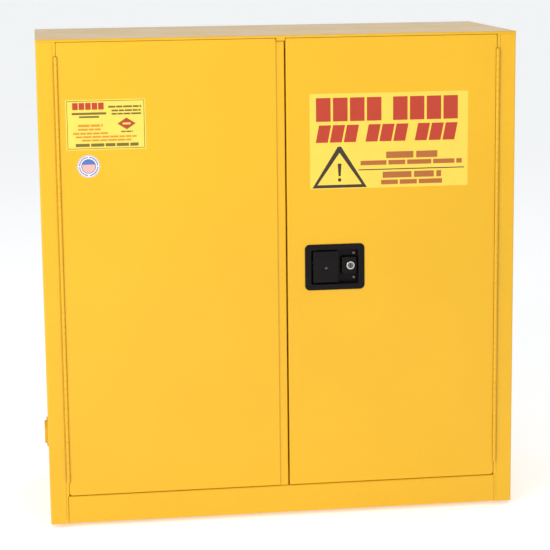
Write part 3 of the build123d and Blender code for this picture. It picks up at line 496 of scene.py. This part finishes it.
class Print:
    """Generic print on a label: blocks placed by shares of its width and height, from its top left."""

    def __init__(self, node):
        low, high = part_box(node)
        self.left, self.top = low.x, high.z
        self.wide, self.high = high.x - low.x, high.z - low.z
        self.near = low.y - INK
        self.far = low.y + SUNK
        self.bm = bmesh.new()
        self.random = random.Random(7)

    def point(self, across, down):
        return self.left + across * self.wide, self.top - down * self.high

    def block(self, across, down, across_end, down_end, ink, radius=0.0, lift=0.0):
        x1, z1 = self.point(across, down_end)
        x2, z2 = self.point(across_end, down)
        outline = rounded(x1, z1, x2, z2, radius) if radius else [(x1, z1), (x2, z1), (x2, z2), (x1, z2)]
        add_plate(self.bm, outline, self.near - lift, self.far, ink)

    def polygon(self, points, ink, lift=0.0):
        add_plate(self.bm, [self.point(*p) for p in points], self.near - lift, self.far, ink)

    def words(self, across, down, across_end, down_end, ink, word):
        """A row of plain word-length bars, which stands for a line of small print."""
        unit = (down_end - down) * self.high / self.wide
        gap, shortest, last_bit = 0.42 * unit, 0.6 * unit, 0.8 * unit
        at = across
        while at < across_end - shortest:
            end = min(across_end, at + unit * self.random.uniform(0.7, 1.4) * word)
            if across_end - end < last_bit:
                end = across_end
            self.polygon([(at, down_end), (end, down_end), (end, down), (at, down)], ink)
            at = end + gap

    def outline(self, inset, line, ink):
        """A thin rule round the label; inset and line are shares of its height."""
        ratio = self.high / self.wide
        far, near = inset + line, inset
        self.block(near * ratio, near, 1 - near * ratio, far, ink)
        self.block(near * ratio, 1 - far, 1 - near * ratio, 1 - near, ink)
        self.block(near * ratio, far, far * ratio, 1 - far, ink)
        self.block(1 - far * ratio, far, 1 - near * ratio, 1 - far, ink)

    def piece(self, name, body, slot, inks):
        bmesh.ops.recalc_face_normals(self.bm, faces=self.bm.faces)
        mesh = bpy.data.meshes.new(name)
        self.bm.to_mesh(mesh)
        self.bm.free()
        new_piece(name, mesh, body, inks)


def heading(label, across, down, across_end, down_end, ink, letters, slant=0.0):
    """A heading row as a run of equal upright blocks, with a wider space where a word would end."""
    blocks, spaces = letters.count("o"), letters.count(" ")
    pitch = (across_end - across) / (blocks + WORD_SPACE * spaces)
    lean = slant * (down_end - down) * label.high / label.wide
    at = across
    for c in letters:
        if c == " ":
            at += WORD_SPACE * pitch
            continue
        end = at + LETTER * pitch
        label.polygon([(at, down_end), (end, down_end), (end + lean, down), (at + lean, down)], ink)
        at += pitch


def make_warning_print(red, brown, black, ground):
    label = Print("warning_label")
    heading(label, 0.040, 0.045, 0.950, 0.292, 0, "oooo oooo")
    heading(label, 0.037, 0.330, 0.925, 0.512, 0, "ooo ooo ooo", slant=0.2)
    label.words(0.480, 0.622, 0.806, 0.692, 1, 4.5)
    label.words(0.318, 0.712, 0.962, 0.760, 1, 5)
    label.block(0.306, 0.802, 0.977, 0.812, 2)
    label.words(0.458, 0.834, 0.830, 0.899, 1, 4.5)
    label.words(0.448, 0.920, 0.836, 0.968, 1, 5)
    label.polygon([(0.014, 0.990), (0.358, 0.990), (0.196, 0.556), (0.176, 0.556)], 2)
    label.polygon([(0.046, 0.958), (0.326, 0.958), (0.186, 0.622)], 3, lift=LAYER)
    label.polygon([(0.174, 0.735), (0.198, 0.735), (0.193, 0.868), (0.179, 0.868)], 2, lift=2 * LAYER)
    label.block(0.176, 0.888, 0.196, 0.926, 2, radius=3 * MM, lift=2 * LAYER)
    label.piece("warning_print", "right_door", "label_vinyl", (red, brown, black, ground))


def make_rating_print(red, olive, orange, ground):
    label = Print("rating_label")
    label.outline(0.022, 0.012, 1)
    heading(label, 0.085, 0.062, 0.490, 0.200, 0, "ooooo")
    label.block(0.075, 0.255, 0.510, 0.300, 1, radius=2 * MM)
    label.block(0.165, 0.325, 0.420, 0.362, 1, radius=2 * MM)
    label.words(0.535, 0.130, 0.950, 0.168, 1, 4)
    label.words(0.575, 0.208, 0.940, 0.242, 1, 4)
    label.words(0.575, 0.274, 0.945, 0.308, 1, 4)
    label.polygon([(0.645, 0.488), (0.760, 0.370), (0.875, 0.488), (0.760, 0.606)], 1)
    label.polygon([(0.662, 0.488), (0.760, 0.388), (0.858, 0.488), (0.760, 0.588)], 0, lift=LAYER)
    label.block(0.710, 0.470, 0.810, 0.506, 3, lift=2 * LAYER)
    label.words(0.690, 0.632, 0.835, 0.660, 1, 4)
    label.words(0.150, 0.492, 0.460, 0.540, 2, 3.5)
    label.words(0.150, 0.572, 0.435, 0.612, 2, 3.5)
    label.words(0.085, 0.652, 0.525, 0.692, 2, 3.5)
    label.words(0.120, 0.722, 0.885, 0.760, 2, 4)
    label.words(0.195, 0.790, 0.815, 0.828, 2, 4)
    label.words(0.115, 0.872, 0.905, 0.935, 1, 3.5)
    label.piece("rating_print", "left_door", "label_vinyl", (red, olive, orange, ground))


STICKER_LAYER = 0.03 * MM
TICKS = 48
RING_PARTS = 72


def make_sticker_print(navy, blue, pink):
    """Round inspection sticker: a ring of small ticks round a plain two-tone disc."""
    low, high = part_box("round_sticker")
    x, z = (low.x + high.x) / 2, (low.z + high.z) / 2
    near, far = low.y - INK, low.y + SUNK
    radius = (high.x - low.x) / 2

    def build(bm):
        ring, inner = 0.94 * radius, 0.64 * radius
        for k in range(TICKS):
            if k % 12 == 0:
                continue
            a = 2 * math.pi * k / TICKS
            along = Vector((math.cos(a), math.sin(a)))
            across = Vector((-along.y, along.x)) * 0.035 * radius
            corners = [along * 0.74 * radius + across, along * 0.74 * radius - across,
                       along * 0.86 * radius - across, along * 0.86 * radius + across]
            add_plate(bm, [(x + c.x, z + c.y) for c in corners], near, far, 0)
        for k in range(RING_PARTS):
            a, b = (2 * math.pi * (k + i) / RING_PARTS for i in (0, 1))
            corners = [(math.cos(a) * ring, math.sin(a) * ring), (math.cos(b) * ring, math.sin(b) * ring),
                       (math.cos(b) * ring * 1.03, math.sin(b) * ring * 1.03),
                       (math.cos(a) * ring * 1.03, math.sin(a) * ring * 1.03)]
            add_plate(bm, [(x + p, z + q) for p, q in corners], near, far, 0)
        add_plate(bm, disc(x, z, inner), near, far, 0)
        add_plate(bm, disc(x, z, 0.92 * inner), near - STICKER_LAYER, far, 2)
        add_plate(bm, disc(x, z, 0.92 * inner, 32, 15, 165), near - 2 * STICKER_LAYER, far, 1)

    mesh = mesh_of("sticker_print", build, smooth=False)
    new_piece("sticker_print", mesh, "left_door", (navy, blue, pink))


# --- Piano hinges ----------------------------------------------------------------------------------

KNUCKLES = 61
KNUCKLE_R = 4.0 * MM
KNUCKLE_GAP = 0.5 * MM
KNUCKLE_EASE = 0.35 * MM
LEAF = 1.1 * MM
LEAF_CLEAR = 0.4 * MM  # from the knuckles to the flat of the leaf
WEB_START = 2 * MM  # the web that joins a knuckle to its leaf, measured back from the pin
WEB_OVERLAP = 0.6 * MM
LEAF_SETBACK = 1.4 * MM  # from the pin to the face that each leaf is fixed to
LEAF_RIVET_PITCH = 118 * MM
LEAF_RIVET_INSET = 17 * MM
SHARP = math.radians(32)
LEAF_RIVET = [(-0.1 * MM, 3.2 * MM), (0.2 * MM, 3.0 * MM), (0.45 * MM, 2.0 * MM), (0.55 * MM, 0)]


def make_hinge_leaf(side, body, node, on_frame, paint):
    """One leaf with its fine rolled knuckles. Only the frame's has rivets. The side is -1 on the left."""
    pin_x, pin_y = hinge_axis(side)
    bottom, top = (corner.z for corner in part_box("hinge_pins"))
    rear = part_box(node)[1].y
    pitch = (top - bottom) / KNUCKLES
    long = pitch - KNUCKLE_GAP
    # The frame's leaf lies on the jamb, outside the pin; the door's lies on the door's edge, inside it
    away = -side if on_frame else side
    wall = pin_x - away * LEAF_SETBACK
    face = wall + away * LEAF
    near, far = sorted((wall, face))

    def build(bm):
        strip = [(near, bottom), (far, bottom), (far, top), (near, top)]
        add_plate(bm, strip, pin_y + KNUCKLE_R + LEAF_CLEAR, rear)
        half = [(0, 0), (0, KNUCKLE_R - KNUCKLE_EASE), (KNUCKLE_EASE, KNUCKLE_R)]
        roll = half + [(long - along, radius) for along, radius in reversed(half)]
        for i in range(0 if on_frame else 1, KNUCKLES, 2):
            low = bottom + i * pitch + KNUCKLE_GAP / 2
            add_lathe(bm, (pin_x, pin_y, low), (0, 0, 1), roll, 24)
            web = [(near, low), (far, low), (far, low + long), (near, low + long)]
            add_plate(bm, web, pin_y + WEB_START, pin_y + KNUCKLE_R + WEB_OVERLAP)
        if on_frame:
            count = int((top - bottom) / LEAF_RIVET_PITCH)
            spacing = (top - bottom - 2 * LEAF_RIVET_INSET) / count
            for i in range(count + 1):
                at = (face, (pin_y + rear + KNUCKLE_R) / 2, bottom + LEAF_RIVET_INSET + i * spacing)
                add_lathe(bm, at, (away, 0, 0), LEAF_RIVET, 16)

    mesh = mesh_of(node + "_fine", build, smooth=False)
    shade_by_angle(mesh)
    new_piece(node + "_fine", mesh, body, (paint,), (node,))


def hinge_axis(side):
    """Where a door's hinge pin stands, from the door's own joint."""
    name = "left_door_swing" if side < 0 else "right_door_swing"
    joint = next(j for j in frame["joints"] if j["name"] == name)
    return joint["pos_m"][0], joint["pos_m"][1]


def shade_by_angle(mesh):
    """Smooth shading with sharp edges where faces meet at more than SHARP."""
    bm = bmesh.new()
    bm.from_mesh(mesh)
    for face in bm.faces:
        face.smooth = True
    for edge in bm.edges:
        edge.smooth = not (edge.is_manifold and edge.calc_face_angle(0) > SHARP)
    bm.to_mesh(mesh)
    bm.free()


# --- Spring, threads, rivets and welds -------------------------------------------------------------

SPRING_WIRE = 0.45 * MM
SPRING_TURNS = 7
SPRING_STEPS = 26  # points in each turn
FRONT_LEG = (3.4 * MM, 2.3 * MM, 1.2 * MM)
REAR_LEG = (1.5 * MM, 3.5 * MM, 5.5 * MM, 7.5 * MM)


def make_paddle_spring(steel):
    """Torsion spring round the paddle's pin. One leg bears on the paddle's back, one on the dish."""
    low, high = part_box("paddle_spring")
    x, y = (low.x + high.x) / 2, (low.y + high.y) / 2
    radius = (high.x - low.x) / 2 - SPRING_WIRE
    start, rise = low.z + SPRING_WIRE, high.z - low.z - 2 * SPRING_WIRE
    steps = SPRING_TURNS * SPRING_STEPS
    coil = []
    for k in range(steps + 1):
        a = 2 * math.pi * k / SPRING_STEPS
        coil.append(Vector((x + radius * math.cos(a), y + radius * math.sin(a), start + rise * k / steps)))
    front_leg = [coil[0] - Vector((0, reach, 0)) for reach in FRONT_LEG]
    rear_leg = [coil[-1] + Vector((0, reach, 0)) for reach in REAR_LEG]
    route = front_leg + coil + rear_leg

    def build(bm):
        add_tube(bm, route, [SPRING_WIRE] * len(route))

    name = "paddle_torsion_spring"
    new_piece(name, mesh_of(name, build), "right_door", (steel,), ("paddle_spring",))


def add_sleeve_thread(bm, start, axis, length, crest, depth, bore, pitch, steps):
    """Threaded sleeve: an outside thread round a plain inner wall that lies inside another solid."""
    u, v, w = frame_of(axis)
    rows = max(6, round(length / pitch * 6))
    rings = []
    for k in range(rows + 1):
        along = length * k / rows
        fade = min(1.0, 2 * min(along, length - along) / pitch)
        ring = []
        for i in range(steps):
            groove = abs(2 * ((along / pitch - i / steps) % 1.0) - 1)
            r = crest - depth * (1 - fade * groove)
            a = 2 * math.pi * i / steps
            ring.append(bm.verts.new(Vector(start) + w * along + (u * math.cos(a) + v * math.sin(a)) * r))
        rings.append(ring)
    for along in (length, 0):
        turn = [2 * math.pi * i / steps for i in range(steps)]
        centre = Vector(start) + w * along
        rings.append([bm.verts.new(centre + (u * math.cos(a) + v * math.sin(a)) * bore) for a in turn])
    rings.append(rings[0])
    for below, above in zip(rings, rings[1:]):
        for i in range(steps):
            j = (i + 1) % steps
            bm.faces.new((below[i], below[j], above[j], above[i]))


FOOT_THREAD = {"crest": 4.96 * MM, "depth": 0.7 * MM, "bore": 4.0 * MM, "pitch": 1.59 * MM, "steps": 24}
CAP_THREAD = {"crest": 26.46 * MM, "depth": 1.1 * MM, "bore": 25.2 * MM, "pitch": 2.21 * MM, "steps": 72}
STUD_THREAD = {"crest": 3.30 * MM, "depth": 0.6 * MM, "bore": 2.7 * MM, "pitch": 1.27 * MM, "steps": 24}
FOOT_PAD = 5.4 * MM  # from the foot's base to the start of its thread
FOOT_TIP = 1.4 * MM
CAP_HEAD = 4.9 * MM
CAP_SKIRT = 13.4 * MM
CAP_OVERLAP = 1.2 * MM  # how far the cap's thread runs into its head
NUT_OVERLAP = 1.0 * MM
STUD_TIP = 0.4 * MM


def make_thread(name, body, start, axis, length, thread, material):
    def build(bm):
        add_sleeve_thread(bm, start, axis, length, **thread)

    new_piece(name, mesh_of(name, build), body, (material,))


def make_threads(steel, paint, brass_metal):
    """Screw threads on the feet, the vent caps and the ground stud."""
    up = (0, 0, 1)
    for foot in [f"foot_{end}_{side}" for end in ("front", "rear") for side in ("left", "right")]:
        low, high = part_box(foot)
        start = ((low.x + high.x) / 2, (low.y + high.y) / 2, low.z + FOOT_PAD)
        length = high.z - FOOT_TIP - start[2]
        make_thread(foot + "_thread", foot, start, up, length, FOOT_THREAD, steel)
    for side, outward in (("left", -1), ("right", 1)):
        cap = "vent_cap_" + side
        low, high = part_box(cap)
        seat = low.x + CAP_HEAD if outward < 0 else high.x - CAP_HEAD
        start = (seat - outward * CAP_OVERLAP, 0, (low.z + high.z) / 2)
        inward = (-outward, 0, 0)
        make_thread(cap + "_thread", cap, start, inward, CAP_SKIRT, CAP_THREAD, paint)
    low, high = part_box("ground_stud")
    start = (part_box("ground_nut")[1].x - NUT_OVERLAP, (low.y + high.y) / 2, (low.z + high.z) / 2)
    length = high.x - start[0] - STUD_TIP
    name = "ground_stud_thread"
    make_thread(name, "cabinet", start, (1, 0, 0), length, STUD_THREAD, brass_metal)


STANDARD = (4.0 * MM, 22.0 * MM)  # thickness and width of a shelf standard
SLOT_PITCH = 57.15 * MM
FIRST_SLOT = 28 * MM
RIVETS_EACH = 6
POP_RIVET = [(-0.1 * MM, 3.3 * MM), (0.3 * MM, 3.2 * MM), (0.9 * MM, 2.3 * MM), (1.1 * MM, 1.1 * MM),
             (0.7 * MM, 0.9 * MM), (0.6 * MM, 0)]


def make_standard_rivets(steel):
    """Pop rivets that hold the shelf standards to the walls, half way between slots."""
    low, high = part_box("shelf_standards")
    thick, wide = STANDARD
    first = low.z + FIRST_SLOT + SLOT_PITCH / 2

    def build(bm):
        for side in (-1, 1):
            for y in (low.y + wide / 2, high.y - wide / 2):
                for i in range(RIVETS_EACH):
                    at = (side * (high.x - thick), y, first + 3 * i * SLOT_PITCH)
                    add_lathe(bm, at, (-side, 0, 0), POP_RIVET, 18)

    new_piece("standard_rivets", mesh_of("standard_rivets", build), "cabinet", (steel,))


SUMP_BEAD = 1.9 * MM
VENT_BEAD = 1.6 * MM
BEAD_STEP = 1.6 * MM
VENT_FLANGE_R = 36 * MM
VENT_WELD_R = 30.4 * MM
VENT_WELD_STEPS = 119


def bead(points, seed, size):
    """Radii of a hand-laid weld bead along evenly spaced points."""
    rand = random.Random(seed)
    radii = []
    drift = 0.0
    for k in range(len(points)):
        drift = 0.9 * drift + rand.uniform(-0.06, 0.06)
        ripple = 0.12 * math.sin(k * 2.2 + drift * 6)
        radii.append(size * (1 + ripple + 0.5 * drift))
    return radii


def line(a, b):
    """Evenly spaced points from a to b."""
    a, b = Vector(a), Vector(b)
    count = max(2, round((b - a).length / BEAD_STEP))
    return [a.lerp(b, k / count) for k in range(count + 1)]


def make_sump_welds(paint):
    """Painted weld beads that seal the leak-proof sump and hold the vent sleeves."""
    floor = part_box("inner_floor")
    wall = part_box("inner_side_right")[0].x
    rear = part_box("inner_back")[0].y
    level = floor[1].z
    front = floor[0].y

    def build(bm):
        corners = [(-wall, front), (wall, front), (wall, rear), (-wall, rear), (-wall, front)]
        for seed, (a, b) in enumerate(zip(corners, corners[1:])):
            points = line((*a, level), (*b, level))
            add_tube(bm, points, bead(points, seed, SUMP_BEAD))
        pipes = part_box("vent_pipes")
        vents = ((-wall, pipes[0].z + VENT_FLANGE_R), (wall, pipes[1].z - VENT_FLANGE_R))
        for seed, (x, z) in enumerate(vents):
            ring = []
            for k in range(VENT_WELD_STEPS + 1):
                a = 2 * math.pi * k / VENT_WELD_STEPS
                ring.append(Vector((x, VENT_WELD_R * math.cos(a), z + VENT_WELD_R * math.sin(a))))
            add_tube(bm, ring, bead(ring, 20 + seed, VENT_BEAD))

    new_piece("sump_welds", mesh_of("sump_welds", build), "cabinet", (paint,))


SPOT_WELD = [(-0.1 * MM, 3.4 * MM), (0.16 * MM, 3.1 * MM), (0.05 * MM, 2.2 * MM), (0.02 * MM, 0)]
SPOTS = 8
SPOT_END = 45 * MM  # from the liner's side to the first mark
SPOT_LOW = 17 * MM
SPOT_HIGH = 13 * MM
LINER_SHEET = 1.2 * MM


def make_spot_welds(paint):
    """Faint electrode marks along the top and the bottom of each door's liner."""
    for body in ("left_door", "right_door"):
        low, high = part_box(body + "_liner")
        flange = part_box("left_door_skin")[1].y + LINER_SHEET

        def build(bm):
            for k in range(SPOTS):
                x = low.x + SPOT_END + k * (high.x - low.x - 2 * SPOT_END) / (SPOTS - 1)
                for z in (low.z + SPOT_LOW, high.z - SPOT_HIGH):
                    add_lathe(bm, (x, flange, z), (0, 1, 0), SPOT_WELD, 18)

        name = body + "_spot_welds"
        new_piece(name, mesh_of(name, build), body, (paint,))


# --- Floor -----------------------------------------------------------------------------------------

FLOOR_GLOW = 0.40  # the light table's own share of the white
FLOOR_REACH = 80
FLOOR_THICK = 0.01
FLOOR_GAP = 0.001


def make_floor():
    s = Shader("studio_floor")
    tone = s.mix(s.noise(1.4), (0.93, 0.93, 0.925, 1), (0.96, 0.96, 0.955, 1))
    roughness = s.ramp(s.noise(8), 0.3, 0.7, 0.75, 0.85)
    s.surface.inputs["Emission Color"].default_value = (0.96, 0.98, 1.0, 1)
    material = s.finish(tone, roughness, s.bump(s.noise(300), 0.05, 0.0005), Emission_Strength=FLOOR_GLOW)

    def build(bm):
        r = FLOOR_REACH
        add_plate(bm, [(-r, -r), (r, -r), (r, r), (-r, r)], 0, FLOOR_THICK)

    mesh = mesh_of("floor", build, smooth=False)
    mesh.transform(Matrix.Rotation(math.radians(-90), 4, "X"))
    mesh.materials.append(material)
    floor = bpy.data.objects.new("floor", mesh)
    floor.location = (0, 0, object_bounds()[0].z - FLOOR_THICK - FLOOR_GAP)
    bpy.context.scene.collection.objects.link(floor)


# --- The scene -------------------------------------------------------------------------------------

make_camera()
make_lights()
make_floor()

paint = enamel("yellow_enamel", YELLOW)
cap_paint = enamel("vent_enamel", shade(YELLOW, 0.97))
zinc = plated("zinc_plate", (0.60, 0.59, 0.56, 1), 0.34)
brass_metal = brass()
finishes = {
    "yellow_enamel": paint,
    "vent_enamel": cap_paint,
    "bare_steel": zinc,
    "galvanised": galvanised(),
    "black_enamel": black_paint("black_powder_coat"),
    "chrome_lock": chrome(),
    "nylon": nylon(),
    "label_vinyl": vinyl("label_vinyl", (0.79, 0.565, 0.066, 1)),
    "sticker_vinyl": vinyl("sticker_vinyl", (0.73, 0.71, 0.80, 1)),
    "arrester_mesh": arrester_metal(),
    "ground_brass": brass_metal,
}
for part in frame["record"]["subparts"]:
    mesh = nodes[part["node"]].data
    mesh.materials.clear()
    mesh.materials.append(finishes[part["material_slot"]])
rating_stock = vinyl("rating_vinyl", (0.78, 0.585, 0.085, 1))
nodes["rating_label"].data.materials[0] = rating_stock
low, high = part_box("paddle")
dent = (low.x + PADDLE_DENT[0] * (high.x - low.x), low.y, low.z + PADDLE_DENT[1] * (high.z - low.z))
# The paddle's coat gets a painted highlight in its finger dent: a grey patch for the glint there.
nodes["paddle"].data.materials[0] = black_paint("powder_coat_painted_highlight", (dent, DENT_HIGHLIGHT))
# Dark plating: the housing rivets' own finish, and painted shade on the lock plug, whose chrome is darkened to
# stand for the dark reflection at its centre.
dark_metal_and_shaded_chrome = plated("dark_plate_and_painted_shade", (0.17, 0.16, 0.15, 1), 0.28)
nodes["lock_plug"].data.materials[0] = dark_metal_and_shaded_chrome
nodes["housing_rivets"].data.materials[0] = dark_metal_and_shaded_chrome

red = vinyl("ink_red", (0.44, 0.035, 0.010, 1))
brown = vinyl("ink_brown", (0.40, 0.115, 0.02, 1))
black = vinyl("ink_black", (0.035, 0.02, 0.012, 1))
olive = vinyl("ink_olive", (0.16, 0.115, 0.012, 1))
orange = vinyl("ink_orange", (0.60, 0.25, 0.02, 1))
make_warning_print(red, brown, black, finishes["label_vinyl"])
make_rating_print(red, olive, orange, rating_stock)
make_sticker_print(vinyl("ink_navy", (0.03, 0.05, 0.17, 1)), vinyl("ink_blue", (0.07, 0.15, 0.42, 1)),
                   vinyl("ink_pink", (0.70, 0.38, 0.34, 1)))

for side, word in ((-1, "left"), (1, "right")):
    make_hinge_leaf(side, "cabinet", "frame_hinge_leaf_" + word, True, paint)
    make_hinge_leaf(side, word + "_door", word + "_door_hinge_leaf", False, paint)
make_paddle_spring(zinc)
make_threads(zinc, cap_paint, brass_metal)
make_standard_rivets(zinc)
make_sump_welds(weld_bead_paint())
make_spot_welds(paint)
